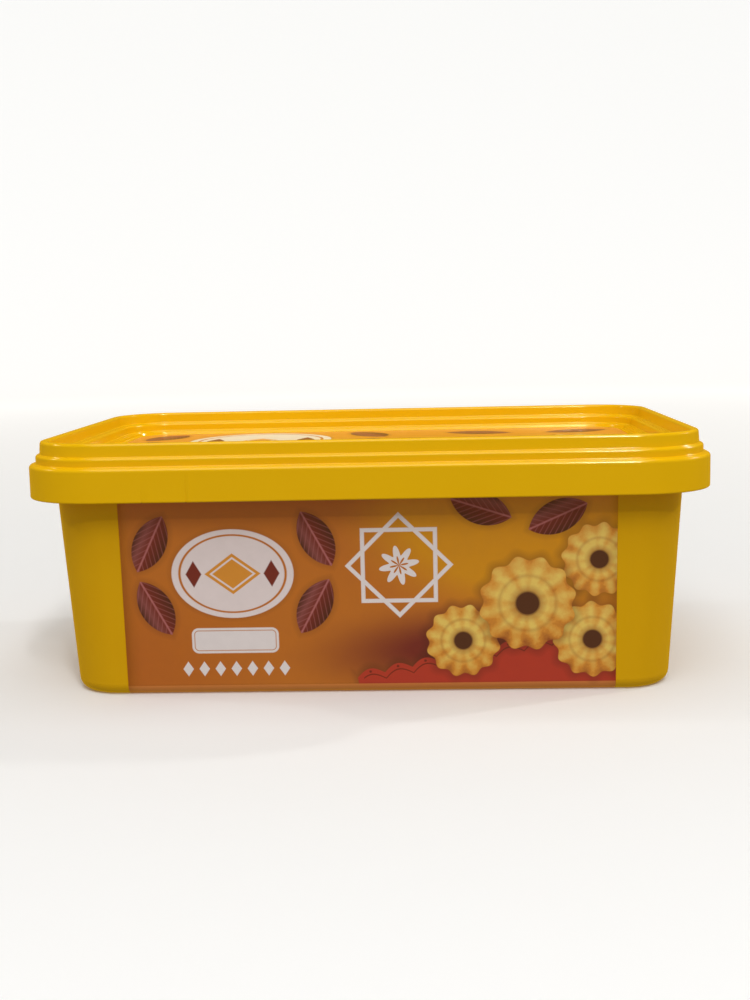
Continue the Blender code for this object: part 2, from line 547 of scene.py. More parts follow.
class Ink:
    """The print's colours, as linear light."""

    CARAMEL: Colour = (0.62, 0.185, 0.018)
    GOLD: Colour = (0.78, 0.32, 0.004)
    EMBER: Colour = (0.50, 0.100, 0.012)
    MAROON: Colour = (0.20, 0.022, 0.020)
    NIGHT: Colour = (0.06, 0.014, 0.014)
    BLUSH: Colour = (0.56, 0.18, 0.18)
    RED: Colour = (0.55, 0.045, 0.024)
    DARK_RED: Colour = (0.20, 0.022, 0.012)
    WHITE: Colour = (0.98, 0.88, 0.85)
    CREAM: Colour = (0.97, 0.83, 0.80)
    STRAW: Colour = (1.0, 0.69, 0.145)
    CRUST: Colour = (0.84, 0.33, 0.036)
    BROWN: Colour = (0.40, 0.105, 0.018)
    FILLING: Colour = (0.085, 0.026, 0.016)
    BORDER: Colour = (0.84, 0.28, 0.060)
    ORANGE: Colour = (0.92, 0.38, 0.040)
    BUTTER: Colour = (0.99, 0.92, 0.70)


@dataclass(frozen=True)
class Paper:
    """A film's print area: its graph and its point as (across, up, 0) in millimetres."""

    graph: Graph
    point: Level

    def local(self, centre: Pair, turn: float = 0.0, size: Pair = (1.0, 1.0)) -> tuple[Level, Level]:
        """The point seen from a motif.

        Args:
            centre: the motif's middle.
            turn: how far it is turned anticlockwise, in degrees.
            size: what counts as one along and across it.

        Returns:
            The place along and across the motif.
        """
        values = {
            "Vector": self.point,
            "Location": (*centre, 0.0),
            "Rotation": (0.0, 0.0, math.radians(turn)),
            "Scale": (*size, 1.0),
        }
        seen = self.graph.node("ShaderNodeMapping", {"vector_type": "TEXTURE"}, values)
        return self.graph.parts_of(seen)[:2]

    def inside(self, distance: Level, softness: float) -> Level:
        """1 inside a shape and 0 outside it, from the distance past its edge."""
        return (0.5 - distance / softness).clamped()

    def over(
        self,
        under: Paint,
        colour: Paint,
        distance: Level,
        softness: float = 0.25,
        strength: float = 1.0,
    ) -> Level:
        """Lays a colour inside a shape's edge.

        Args:
            under: the colour so far.
            colour: the colour laid over it.
            distance: how far the point lies past the edge, negative inside.
            softness: the width over which the edge fades.
            strength: how much of the colour shows inside.

        Returns:
            The two colours mixed.
        """
        share = self.inside(distance, softness)
        if strength != 1.0:
            share = share * strength
        return self.graph.mixed(share, under, colour)


@dataclass(frozen=True)
class Glow:
    """A soft oval of colour."""

    centre: Pair
    size: Pair
    colour: Colour
    turn: float = 0.0
    strength: float = 1.0

    def lay(self, paper: Paper, under: Paint) -> Level:
        """Fades the colour out from the middle: its share is (1 - radius squared) squared.

        Args:
            paper: the film's print area.
            under: the colour so far.

        Returns:
            The colour with the glow laid over it.
        """
        along, across = paper.local(self.centre, self.turn, self.size)
        fall = (1.0 - (along * along + across * across)).clamped()
        return paper.graph.mixed(fall * fall * self.strength, under, self.colour)


@dataclass(frozen=True)
class Leaf:
    """A pointed leaf with a pale midrib and slanting veins, lit on one half, on a soft shadow."""

    centre: Pair
    turn: float
    length: float = 20.0
    width: float = 10.5
    midrib: float = 0.28
    vein_pitch: float = 2.4
    vein_sweep: float = 1.3
    vein_crest: float = 0.80
    vein_softness: float = 0.5
    vein_strength: float = 0.34
    midrib_softness: float = 0.35
    midrib_strength: float = 0.8
    shadow: float = 4.0
    shadow_strength: float = 0.5
    sheen: float = 0.30

    def lay(self, paper: Paper, under: Paint) -> Level:
        """Draws the leaf where two equal circles overlap.

        The circles' radius is (half length squared + half width squared) / width, and the veins are
        the crests of a sine wave along the leaf, swept back by the distance from the midrib. The
        light on one half rises to its middle and falls again in straight lines.

        Args:
            paper: the film's print area.
            under: the colour so far.

        Returns:
            The colour with the leaf laid over it.
        """
        along, across = paper.local(self.centre, self.turn)
        half_length, half_width = self.length / 2, self.width / 2
        radius = (half_length**2 + half_width**2) / self.width
        side = abs(across)
        edge = (side + (radius - half_width)).hypotenuse(along) - radius
        waves = (along + side * self.vein_sweep) * (2 * math.pi / self.vein_pitch)
        veins = self.vein_crest - waves.sine()
        shaded = paper.over(under, Ink.NIGHT, edge, self.shadow, self.shadow_strength)
        blade = paper.graph.mixed((side / half_width).clamped(), Ink.MAROON, Ink.NIGHT)
        lit = (1.0 - abs(across / half_width - 0.5) * 2.0).clamped() * self.sheen
        blade = paper.graph.mixed(lit, blade, Ink.BLUSH)
        blade = paper.over(blade, Ink.BLUSH, veins, self.vein_softness, self.vein_strength)
        blade = paper.over(blade, Ink.BLUSH, side - self.midrib, self.midrib_softness, self.midrib_strength)
        return paper.over(shaded, blade, edge)


@dataclass(frozen=True)
class Rosette:
    """A round moulded biscuit seen from above: petals, a browned rim and a dark middle."""

    centre: Pair
    radius: float
    turn: float = 0.0
    petals: int = 12
    swell: float = 0.05
    shadow: float = 5.0
    shadow_in: float = 0.6
    shadow_strength: float = 0.65
    rim_bake: float = 1.15
    groove_bake: float = 0.42
    shade_bake: float = 0.34
    patch_bake: float = 2.2
    patch_scale: float = 0.20
    brown_from: float = 0.9
    brown_gain: float = 1.2
    ring: float = 0.58
    ring_half: float = 0.02
    ring_softness: float = 0.09
    ring_strength: float = 0.45
    well: float = 0.34
    well_softness: float = 0.14
    well_strength: float = 0.6
    filling: float = 0.25
    filling_softness: float = 0.05

    def lay(self, paper: Paper, under: Paint) -> Level:
        """Draws the biscuit from its distance and bearing, as shares of its radius.

        The rim swells by a share of the petals' sine. The bake rises with the square of the reach,
        in the grooves between petals, on the lower side and in soft patches, and turns the crust
        from straw to golden, then brown. A ring and the filling's well are pressed into it.

        Args:
            paper: the film's print area.
            under: the colour so far.

        Returns:
            The colour with the biscuit laid over it.
        """
        along, across = paper.local(self.centre, self.turn, (self.radius, self.radius))
        reach = along.hypotenuse(across)
        wave = (across.bearing(along) * self.petals).sine()
        edge = (reach - (1.0 - self.swell) - wave * self.swell) * self.radius
        shaded = paper.over(under, Ink.NIGHT, edge - self.shadow_in, self.shadow, self.shadow_strength)
        patches = paper.graph.noise(paper.point, self.patch_scale, detail=5.0, roughness=0.6)
        bake = reach * reach * self.rim_bake - wave * reach * self.groove_bake - across * self.shade_bake
        bake = bake + (patches - 0.5) * self.patch_bake
        crust = paper.graph.mixed(bake.clamped(), Ink.STRAW, Ink.CRUST)
        browned = ((bake - self.brown_from) * self.brown_gain).clamped()
        crust = paper.graph.mixed(browned, crust, Ink.BROWN)
        ring = abs(reach - self.ring) - self.ring_half
        crust = paper.over(crust, Ink.BROWN, ring, self.ring_softness, self.ring_strength)
        crust = paper.over(crust, Ink.BROWN, reach - self.well, self.well_softness, self.well_strength)
        crust = paper.over(crust, Ink.FILLING, reach - self.filling, self.filling_softness)
        return paper.over(shaded, crust, edge)


@dataclass(frozen=True)
class Medallion:
    """A pale oval with an inner line, a framed lozenge and a small lozenge on each side."""

    centre: Pair
    size: Pair
    colour: Colour = Ink.CREAM
    line: Colour = Ink.CARAMEL
    shadow: float = 3.0
    shadow_strength: float = 0.4
    ring: float = 0.87
    ring_line: float = 0.02
    lozenge: Pair = (0.46, 0.46)
    frame_in: float = 1.5
    frame_line: float = 0.35
    side_lozenge: Pair = (0.13, 0.30)
    side_place: float = 0.64

    def lay(self, paper: Paper, under: Paint) -> Level:
        """Draws the oval and its lozenges, measured as shares of its half sizes.

        The oval is where the root of x squared plus y squared is under one, and a lozenge is where
        |x| / half width + |y| / half height is.

        Args:
            paper: the film's print area.
            under: the colour so far.

        Returns:
            The colour with the oval laid over it.
        """
        along, across = paper.local(self.centre, 0.0, self.size)
        span = min(self.size)
        reach = along.hypotenuse(across)
        oval = (reach - 1.0) * span
        shown = paper.over(under, Ink.NIGHT, oval, self.shadow, self.shadow_strength)
        shown = paper.over(shown, self.colour, oval)
        shown = paper.over(shown, self.line, (abs(reach - self.ring) - self.ring_line) * span)
        wide, tall = abs(along), abs(across)
        middle = wide / self.lozenge[0] + tall / self.lozenge[1] - 1.0
        middle = middle * (span * self.lozenge[1])
        shown = paper.over(shown, Ink.CRUST, middle)
        shown = paper.over(shown, self.colour, abs(middle + self.frame_in) - self.frame_line)
        side = abs(wide - self.side_place) / self.side_lozenge[0] + tall / self.side_lozenge[1] - 1.0
        return paper.over(shown, Ink.MAROON, side * (span * self.side_lozenge[0]))


@dataclass(frozen=True)
class Star:
    """Two crossed squares in white line with a small flower of petals in the middle."""

    centre: Pair
    reach: float
    line: float = 1.3
    colour: Colour = Ink.WHITE
    petals: int = 8
    flower: float = 0.42
    flower_swell: float = 0.14
    petal_line: float = 0.30

    def lay(self, paper: Paper, under: Paint) -> Level:
        """Draws the lines where the nearer of the two squares' edges is within half a line.

        The flower's radius swells with the sine of its bearing times the number of petals.

        Args:
            paper: the film's print area.
            under: the colour so far.

        Returns:
            The colour with the star laid over it.
        """
        along, across = paper.local(self.centre)
        wide, tall = abs(along), abs(across)
        square = wide.most(tall) - self.reach
        diamond = (wide + tall) * math.sqrt(0.5) - self.reach
        shown = paper.over(under, self.colour, abs(square).least(abs(diamond)) - self.line / 2)
        wave = (across.bearing(along) * self.petals).sine()
        radius, swell = self.reach * self.flower, self.reach * self.flower_swell
        flower = along.hypotenuse(across) - radius - wave * swell
        shown = paper.over(shown, self.colour, flower)
        return paper.over(shown, Ink.CARAMEL, flower + self.reach * self.petal_line)


@dataclass(frozen=True)
class LozengeRow:
    """A level row of equal lozenges."""

    centre: Pair
    count: int
    pitch: float
    size: Pair
    colour: Colour = Ink.WHITE

    def lay(self, paper: Paper, under: Paint) -> Level:
        """Draws the lozenges.

        One is where |x| / half width + |y| / half height is under one, x repeating each pitch.

        Args:
            paper: the film's print area.
            under: the colour so far.

        Returns:
            The colour with the row laid over it.
        """
        along, across = paper.local(self.centre)
        start = self.count * self.pitch / 2
        shifted = along + start
        cell = shifted.math("WRAP", shifted, self.pitch, 0.0) - self.pitch / 2
        shape = (abs(cell) / self.size[0] + abs(across) / self.size[1] - 1.0) * min(self.size)
        return paper.over(under, self.colour, shape.most(abs(along) - start))


@dataclass(frozen=True)
class Tab:
    """A plain rounded field with an inner line."""

    centre: Pair
    half: Pair
    corner: float = 2.2
    colour: Colour = Ink.WHITE
    line: Colour = Ink.CARAMEL
    line_in: float = 0.9
    line_half: float = 0.12

    def lay(self, paper: Paper, under: Paint) -> Level:
        """Draws the field from its rounded box distance.

        That is how far the point lies past the corner's centre, less the corner's radius.

        Args:
            paper: the film's print area.
            under: the colour so far.

        Returns:
            The colour with the field laid over it.
        """
        along, across = paper.local(self.centre)
        wide = (abs(along) - (self.half[0] - self.corner)).most(0.0)
        tall = (abs(across) - (self.half[1] - self.corner)).most(0.0)
        edge = wide.hypotenuse(tall) - self.corner
        shown = paper.over(under, self.colour, edge)
        return paper.over(shown, self.line, abs(edge + self.line_in) - self.line_half)


@dataclass(frozen=True)
class Ribbon:
    """A cloth below a scalloped slanting edge, with a dark line and an eyelet in each scallop."""

    start: Pair
    slope: float
    scallop: float
    pitch: float
    colour: Colour = Ink.RED
    shadow: float = 4.0
    shadow_in: float = 0.8
    shadow_strength: float = 0.6
    hem: float = 2.0
    hem_line: float = 0.2
    eyelet: float = 0.42

    def lay(self, paper: Paper, under: Paint) -> Level:
        """Draws the cloth where the height is under a line plus the size of a slow sine's arches.

        An eyelet sits in the middle of each arch, where the place along, repeated each pitch, is half
        a pitch, and half a hem below the arch's top.

        Args:
            paper: the film's print area.
            under: the colour so far.

        Returns:
            The colour with the cloth laid over it.
        """
        along, up = paper.local(self.start, self.slope)
        before = along * -1.0
        edge = up - abs((along * (math.pi / self.pitch)).sine()) * self.scallop
        cell = along.math("WRAP", along, self.pitch, 0.0) - self.pitch / 2
        eyelets = cell.hypotenuse(up - (self.scallop - self.hem / 2)) - self.eyelet
        shade = (edge - self.shadow_in).most(before)
        shown = paper.over(under, Ink.NIGHT, shade, self.shadow, self.shadow_strength)
        shown = paper.over(shown, self.colour, edge.most(before))
        shown = paper.over(shown, Ink.DARK_RED, eyelets.most(before))
        stripe = (abs(edge + self.hem) - self.hem_line).most(before + self.hem)
        return paper.over(shown, Ink.DARK_RED, stripe)


Motif = Glow | Leaf | Rosette | Medallion | Star | LozengeRow | Tab | Ribbon


@dataclass(frozen=True)
class PrintedFilm:
    """Printed label film: satin, with a fine grain and a faint mottle in its ink."""

    name: str
    ground: Colour
    motifs: tuple[Motif, ...]
    to_paper: Callable[[Graph], Level]
    roughness: float = 0.36
    grain_scale: float = 1800.0
    grain_height: float = 0.000012
    wave_scale: float = 24.0
    wave_height: float = 0.0004
    mottle_scale: float = 240.0
    mottle_strength: float = 0.10
    roughness_spread: float = 0.12

    def make(self) -> bpy.types.Material:
        """Builds the material: the motifs laid in order over the ground, then the film's surface.

        Returns:
            The finished material.
        """
        graph = Graph(self.name)
        paper = Paper(graph, self.to_paper(graph))
        ink: Paint = self.ground
        for motif in self.motifs:
            ink = motif.lay(paper, ink)
        point = graph.object_point()
        mottle = graph.noise(point, self.mottle_scale, detail=3.0)
        grain = graph.noise(point, self.grain_scale, detail=1.0)
        waves = graph.noise(point, self.wave_scale, detail=1.0)
        relief = grain * self.grain_height + waves * self.wave_height
        graph.set(
            base_color=graph.mixed(mottle * self.mottle_strength, ink, Ink.NIGHT),
            roughness=self.roughness + (mottle - 0.5) * self.roughness_spread,
            ior=PLASTIC_IOR,
            normal=graph.bumped(relief, 1.0, 1.0),
        )
        return graph.material


def wall_paper(graph: Graph) -> Level:
    """Print coordinates on the front and back: across is x seen from outside, up is z.

    Args:
        graph: the film's graph.

    Returns:
        The point in millimetres.
    """
    x, y, z = graph.parts_of(graph.object_point())
    across = x * y.math("SIGN", y) * -MILLIMETRES
    return graph.node("ShaderNodeCombineXYZ", values={0: across, 1: z * MILLIMETRES, 2: 0.0})


def lid_paper(graph: Graph) -> Level:
    """Print coordinates on the lid, seen from above: across is x, up is y, in millimetres."""
    x, y, _ = graph.parts_of(graph.object_point())
    return graph.node("ShaderNodeCombineXYZ", values={0: x * MILLIMETRES, 1: y * MILLIMETRES, 2: 0.0})


LID_PLASTIC = MouldedPlastic(
    name="lid_plastic",
    colour=(0.93, 0.53, 0.003),
    deep_colour=(0.90, 0.49, 0.003),
    roughness=0.15,
    coat=0.30,
)

TUB_PLASTIC = MouldedPlastic(
    name="tub_plastic",
    colour=(0.83, 0.45, 0.003),
    deep_colour=(0.79, 0.40, 0.003),
    roughness=0.22,
    coat=0.10,
)

WALL_PRINT = PrintedFilm(
    name="wall_label_film",
    ground=Ink.CARAMEL,
    to_paper=wall_paper,
    motifs=(
        Glow((54.0, 62.0), size=(68.0, 44.0), colour=Ink.GOLD, strength=2.8),
        Glow((-78.0, 8.0), size=(60.0, 40.0), colour=Ink.EMBER, strength=0.4),
        Glow((26.0, 15.0), size=(58.0, 17.0), colour=Ink.MAROON, turn=4.0, strength=1.1),
        Ribbon((-4.0, 5.0), slope=11.0, scallop=2.2, pitch=9.0),
        Tab((0.0, -1.2), half=(90.0, 4.2), corner=0.1, colour=Ink.BORDER, line=Ink.BORDER),
        Leaf((-69.0, 50.0), turn=64.0),
        Leaf((-68.0, 29.0), turn=118.0),
        Leaf((-16.0, 51.0), turn=118.0),
        Leaf((-17.0, 29.0), turn=62.0),
        Leaf((36.0, 60.0), turn=-18.0),
        Leaf((60.0, 57.0), turn=24.0),
        Rosette((30.0, 17.0), radius=12.0, turn=10.0),
        Rosette((71.0, 17.0), radius=12.5, turn=25.0),
        Rosette((73.0, 43.0), radius=12.0, turn=15.0),
        Rosette((50.5, 29.0), radius=15.5, turn=5.0),
        Medallion((-43.0, 40.0), size=(19.5, 14.5)),
        Star((10.0, 42.0), reach=11.5),
        Tab((-43.0, 18.0), half=(14.0, 4.2)),
        LozengeRow((-43.0, 8.6), count=7, pitch=5.2, size=(1.7, 2.5)),
    ),
)

# The lid's leaves: each one's middle and how far it is turned
LID_LEAVES = (
    ((-83.0, 44.0), 62.0),
    ((-81.0, 16.0), 118.0),
    ((-3.0, 45.0), 118.0),
    ((-5.0, 16.0), 62.0),
    ((40.0, 44.0), -14.0),
    ((78.0, 44.0), 20.0),
    ((-82.0, -40.0), -35.0),
)

LID_PRINT = PrintedFilm(
    name="lid_label_film",
    ground=Ink.ORANGE,
    to_paper=lid_paper,
    motifs=(
        Glow((30.0, 10.0), size=(90.0, 60.0), colour=Ink.GOLD, strength=0.8),
        Ribbon((-8.0, -42.0), slope=8.0, scallop=4.0, pitch=13.0, hem=3.0, eyelet=0.7),
        *(Leaf(centre, turn, length=26.0, width=13.0) for centre, turn in LID_LEAVES),
        Rosette((30.0, -12.0), radius=19.0, turn=5.0),
        Rosette((76.0, 14.0), radius=16.0, turn=15.0),
        Rosette((66.0, -23.0), radius=22.0, turn=10.0),
        Medallion((-44.0, 27.0), size=(27.0, 30.0), colour=Ink.BUTTER, lozenge=(0.25, 0.25)),
        Star((-44.0, -33.0), reach=13.0, line=1.6),
    ),
)


@dataclass(frozen=True)
class Lid:
    """The push-on lid: a skirt, two outer ledges, a crest, two inner ledges and a sunk panel."""

    footprint: Footprint
    straight_reach: Pair = (0.0840, 0.0490)
    underside: float = 0.0730
    skirt_bottom: float = 0.0644
    skirt_top: float = 0.0751
    outer_step: float = 0.0781
    crest: float = 0.0827
    inner_step: float = 0.0785
    inner_shelf: float = 0.0753
    panel: float = 0.0743
    skirt_wall: float = 0.0013
    outer_band_in: float = 0.0022
    crest_outer_in: float = 0.0038
    crest_inner_in: float = 0.0064
    inner_band_in: float = 0.0094
    shelf_edge_in: float = 0.0120
    panel_edge_in: float = 0.0124
    draft: float = 0.0003
    lip_rounding: Pair = (0.0003, 0.0005)
    skirt_rounding: float = 0.00115
    ledge_rounding: float = 0.00085
    crest_rounding: float = 0.0010
    hollow_rounding: float = 0.0004
    inner_rounding: Pair = (0.0005, 0.0009)
    shelf_rounding: float = 0.0003
    film_rounding: float = 0.00004
    film_edge_in: float = 0.0145
    film_gap: float = 0.0002
    film_depth: float = 0.00012
    film_skin: float = 0.00002
    film_lap: float = 0.0002
    film_hem: float = 0.0010
    tear_places: Pair = (-0.0691, -0.0552)
    tear_tops: Pair = (0.0670, 0.0737)
    tear_half_width: float = 0.00028
    tear_depth: float = 0.00018

    def profile(self) -> Array:
        """From the underside, down inside the skirt, up its face, over the crest and onto the panel.

        Returns:
            Rows of (inset, height).
        """
        hollow, ledge = self.inner_rounding
        pocket_in = self.film_edge_in - self.film_gap
        return trace(
            [
                Corner(self.skirt_wall + self.draft, self.underside),
                Corner(self.skirt_wall, self.skirt_bottom, self.lip_rounding[0]),
                Corner(0.0, self.skirt_bottom, self.lip_rounding[1]),
                Corner(0.0, self.skirt_top, self.skirt_rounding),
                Corner(self.outer_band_in, self.skirt_top + self.draft, self.hollow_rounding),
                Corner(self.outer_band_in, self.outer_step, self.ledge_rounding),
                Corner(
                    self.crest_outer_in - self.draft, self.outer_step + self.draft, self.hollow_rounding
                ),
                Corner(self.crest_outer_in, self.crest, self.crest_rounding),
                Corner(self.crest_inner_in, self.crest, self.crest_rounding),
                Corner(self.crest_inner_in + 2 * self.draft, self.inner_step + self.draft, hollow),
                Corner(self.inner_band_in, self.inner_step, ledge),
                Corner(self.inner_band_in + self.draft, self.inner_shelf + self.draft, hollow),
                Corner(self.shelf_edge_in, self.inner_shelf, self.shelf_rounding),
                Corner(self.panel_edge_in, self.panel, self.shelf_rounding),
                Corner(pocket_in, self.panel, self.film_rounding),
                Corner(pocket_in, self.panel - self.film_depth, self.film_rounding),
                Corner(self.film_edge_in + self.film_gap, self.panel - self.film_depth),
            ]
        )

    def tear_relief(self, profile: Array, columns: Columns) -> Array:
        """The depth of the two tear lines at each point of the skirt's front face.

        A line is as deep as its column lies near its middle, and only on rings of the outer face
        from the lower edge to the line's top.

        Args:
            profile: the lid's profile.
            columns: the lid's columns.

        Returns:
            Depths as rings by columns.
        """
        place = np.nan_to_num(columns.fixed[:, 0], nan=FAR)
        front = columns.side[:, 1] < 0
        face = profile[:, 0] < self.outer_band_in / 2
        depth = np.zeros((len(profile), len(place)))
        for middle, top in zip(self.tear_places, self.tear_tops):
            near = np.clip(1 - np.abs(place - middle) / self.tear_half_width, 0, 1)
            rings = face & (profile[:, 1] < top) & (profile[:, 1] > self.skirt_bottom - GUARD)
            depth += self.tear_depth * rings[:, None] * (near * front)[None]
        return depth

    def columns(self) -> Columns:
        """Columns round the lid, with three at each tear line.

        Returns:
            The lid's columns.
        """
        reach = self.tear_half_width
        marks = [middle + side for middle in self.tear_places for side in (-reach, 0.0, reach)]
        return Columns.between(spaced(self.straight_reach[0], marks), spaced(self.straight_reach[1]))

    def build_shell(self, finish: bpy.types.Material) -> bpy.types.Object:
        """Lofts the lid and dresses it.

        Args:
            finish: the lid's plastic.

        Returns:
            The closed shell.
        """
        profile, columns = self.profile(), self.columns()
        radius, relief = self.footprint.corner - profile[:, 0], self.tear_relief(profile, columns)
        rings = columns.rings(self.footprint, profile, radius, relief)
        shell = surface("lid_shell", rings, wraps=True, ends=Ends.BOTH)
        place_piece(shell, finish, "lid")
        return shell

    def build_film(self, finish: bpy.types.Material) -> bpy.types.Object:
        """Lays the printed film into the panel's shallow pocket, its edge rounded.

        Args:
            finish: the film's print.

        Returns:
            The closed film.
        """
        top, bottom = self.panel - self.film_skin, self.panel - self.film_depth + self.film_skin
        profile = trace(
            [
                Corner(self.film_edge_in + self.film_lap, bottom),
                Corner(self.film_edge_in, bottom, self.film_skin),
                Corner(self.film_edge_in, top, self.film_skin),
                Corner(self.film_edge_in + self.film_hem, top),
            ]
        )
        columns = Columns.between(spaced(self.straight_reach[0]), spaced(self.straight_reach[1]))
        rings = columns.rings(self.footprint, profile, self.footprint.corner - profile[:, 0])
        film = surface("lid_film", rings, wraps=True, ends=Ends.BOTH)
        place_piece(film, finish, "lid_label")
        return film


class Side(Enum):
    """The two long walls that carry a film, with the sign of their y."""

    FRONT = -1
    BACK = 1


@dataclass(frozen=True)
class Tub:
    """The tub: a gate mark, a sunk base, a foot ring, drafted walls and a collar under the lid."""

    footprint: Footprint
    straight_reach: Pair = (0.0818, 0.0468)
    wall_step: float = 0.0030
    foot_rise: float = 0.0012
    foot_slope: float = 0.0008
    foot_roundings: Pair = (0.0006, 0.0004)
    foot_in: float = 0.0230
    sunk_run: float = 0.0032
    base_in: float = 0.0122
    base_corner: float = 0.0156
    base_rounding: float = 0.0038
    top_in: float = 0.0085
    top_corner: float = 0.0175
    top_height: float = 0.0644
    collar_under: float = 0.0713
    collar_top: float = 0.0727
    collar_in: float = 0.0017
    film_half_width: float = 0.0786
    film_top: float = 0.0690
    film_tuck: float = 0.0030
    film_gap: float = 0.00006
    pocket_depth: float = 0.00011
    film_thickness: float = 0.00008
    film_clearance: float = 0.00002
    gate_rings: tuple[Pair, ...] = (
        (0.0006, 0.0008),
        (0.0011, 0.0009),
        (0.0014, 0.0016),
        (0.0048, 0.0016),
        (0.0052, 0.0012),
    )
    spread_shares: tuple[float, ...] = (0.02, 0.3, 0.6, 0.9)

    def wall_inset(self, height: float) -> float:
        """The drafted wall's inset at a height."""
        draft = (self.base_in - self.top_in) / (self.top_height - self.base_rounding)
        return self.base_in - draft * (height - self.base_rounding)

    def wall_profile(self) -> Array:
        """From the base panel over the foot ring, round the base's edge and up to the collar.

        Returns:
            Rows of (inset, height).
        """
        return trace(
            [
                Corner(self.foot_in + self.sunk_run, self.foot_rise),
                Corner(self.foot_in + self.foot_slope, self.foot_rise, self.foot_roundings[0]),
                Corner(self.foot_in, 0.0, self.foot_roundings[1]),
                Corner(self.wall_inset(0.0), 0.0, self.base_rounding),
                Corner(self.wall_inset(self.collar_under), self.collar_under),
            ],
            longest=self.wall_step,
        )

    def corner_radius(self, profile: Array) -> Array:
        """The plan radius of the corners.

        Up the wall it grows evenly with the height. Under the base it shrinks by the inset past the
        base's edge.

        Args:
            profile: rows of (inset, height).

        Returns:
            A radius for each row.
        """
        growth = (self.top_corner - self.base_corner) / (self.top_height - self.base_rounding)
        wall = self.base_corner + growth * (profile[:, 1] - self.base_rounding)
        base = self.base_corner - (profile[:, 0] - self.base_in)
        return np.where(profile[:, 0] > self.base_in, base, wall)

    def pocket_relief(self, profile: Array, columns: Columns) -> Array:
        """The pocket's depth under each film: full inside its edges and none outside.

        Args:
            profile: the wall's profile.
            columns: the tub's columns.

        Returns:
            Depths as rings by columns.
        """
        place = np.abs(np.nan_to_num(columns.fixed[:, 0], nan=FAR))
        across = place < self.film_half_width + self.film_gap
        under = self.base_in + self.base_rounding + self.film_tuck
        along = (profile[:, 0] < under) & (profile[:, 1] < self.film_top + self.film_gap)
        return self.pocket_depth * along[:, None] * across[None]

    def base_rings(self, edge: Array) -> Array:
        """The base panel: a gate mark of circles, then rings that turn into the foot's outline.

        A ring is (1 - share) of a circle plus share of the outline, point by point, each circle's
        point on the same bearing as the outline's.

        Args:
            edge: the outline that the last ring leads to, one point a column.

        Returns:
            Points as rings by columns by three.
        """
        bearing = np.arctan2(edge[:, 1], edge[:, 0])
        spokes = np.stack([np.cos(bearing), np.sin(bearing)], axis=1)
        level = np.ones(len(edge))
        circles = [np.column_stack([spokes * radius, level * height]) for radius, height in self.gate_rings]
        last = circles[-1]
        spread = [last + share * (edge - last) for share in self.spread_shares]
        return np.stack(circles + spread)

    def build_shell(self, finish: bpy.types.Material) -> bpy.types.Object:
        """Lofts the base, the wall and the collar as one piece and dresses it.

        Args:
            finish: the tub's plastic.

        Returns:
            The closed shell.
        """
        edge, past = self.film_half_width, self.film_half_width + 2 * self.film_gap
        edges = [-edge, -past, edge, past]
        columns = Columns.between(spaced(self.straight_reach[0], edges), spaced(self.straight_reach[1]))
        wall = self.wall_profile()
        radius, relief = self.corner_radius(wall), self.pocket_relief(wall, columns)
        walls = columns.rings(self.footprint, wall, radius, relief)
        collar = np.array([(self.collar_in, self.collar_under), (self.collar_in, self.collar_top)])
        collars = columns.rings(self.footprint, collar, self.footprint.corner - collar[:, 0])
        rings = np.concatenate([self.base_rings(walls[0]), walls, collars])
        shell = surface("tub_shell", rings, wraps=True, ends=Ends.BOTH)
        place_piece(shell, finish, "tub")
        return shell

    def build_film(self, side: Side, finish: bpy.types.Material) -> bpy.types.Object:
        """Bends a printed film down the wall and under the base, and gives it its thickness.

        The film follows the wall's profile, sunk by the depth of its inner face, between its tuck
        under the base and its top edge.

        Args:
            side: the wall that it lies on.
            finish: the film's print.

        Returns:
            The film.
        """
        wall = self.wall_profile()
        normal = outward(wall)
        sunk = wall + (self.pocket_depth - self.film_clearance) * normal * (1, -1)
        under = self.base_in + self.base_rounding + self.film_tuck - self.film_gap
        path = sunk[(wall[:, 0] < under) & (wall[:, 1] < self.film_top)]
        places = spaced(self.film_half_width - self.film_gap) * -side.value
        wall_y = side.value * (self.footprint.half_depth - path[:, 0])
        grid = np.empty((len(path), len(places), 3))
        grid[..., 0] = places[None]
        grid[..., 1] = wall_y[:, None]
        grid[..., 2] = path[:, 1:]
        film = surface(f"{side.name.lower()}_film", grid, wraps=False, ends=Ends.NEITHER)
        thickness = film.modifiers.new("film_thickness", "SOLIDIFY")
        thickness.thickness = self.film_thickness
        thickness.offset = 1.0
        place_piece(film, finish, f"{side.name.lower()}_label")
        return film


@dataclass(frozen=True)
class SoftLight:
    """A flat studio light aimed at a point of the part."""

    name: str
    azimuth: float
    elevation: float
    distance: float
    width: float
    height: float
    power: float
    colour: Colour = (1.0, 1.0, 1.0)
    aim: tuple[float, float, float] = (0.0, 0.0, 0.05)

    def make(self) -> bpy.types.Object:
        """Hangs the light. Azimuth 0 is straight in front and 90 is on the +X side, in degrees.

        Returns:
            The light.
        """
        turn, rise = math.radians(self.azimuth), math.radians(self.elevation)
        flat = math.cos(rise)
        away = Vector((math.sin(turn) * flat, -math.cos(turn) * flat, math.sin(rise)))
        lamp = bpy.data.lights.new(self.name, "AREA")
        lamp.shape = "RECTANGLE"
        lamp.size = self.width
        lamp.size_y = self.height
        lamp.energy = self.power
        lamp.color = self.colour
        light = bpy.data.objects.new(self.name, lamp)
        light.location = Vector(self.aim) + away * self.distance
        light.rotation_euler = away.to_track_quat("Z", "Y").to_euler()
        bpy.context.scene.collection.objects.link(light)
        return light


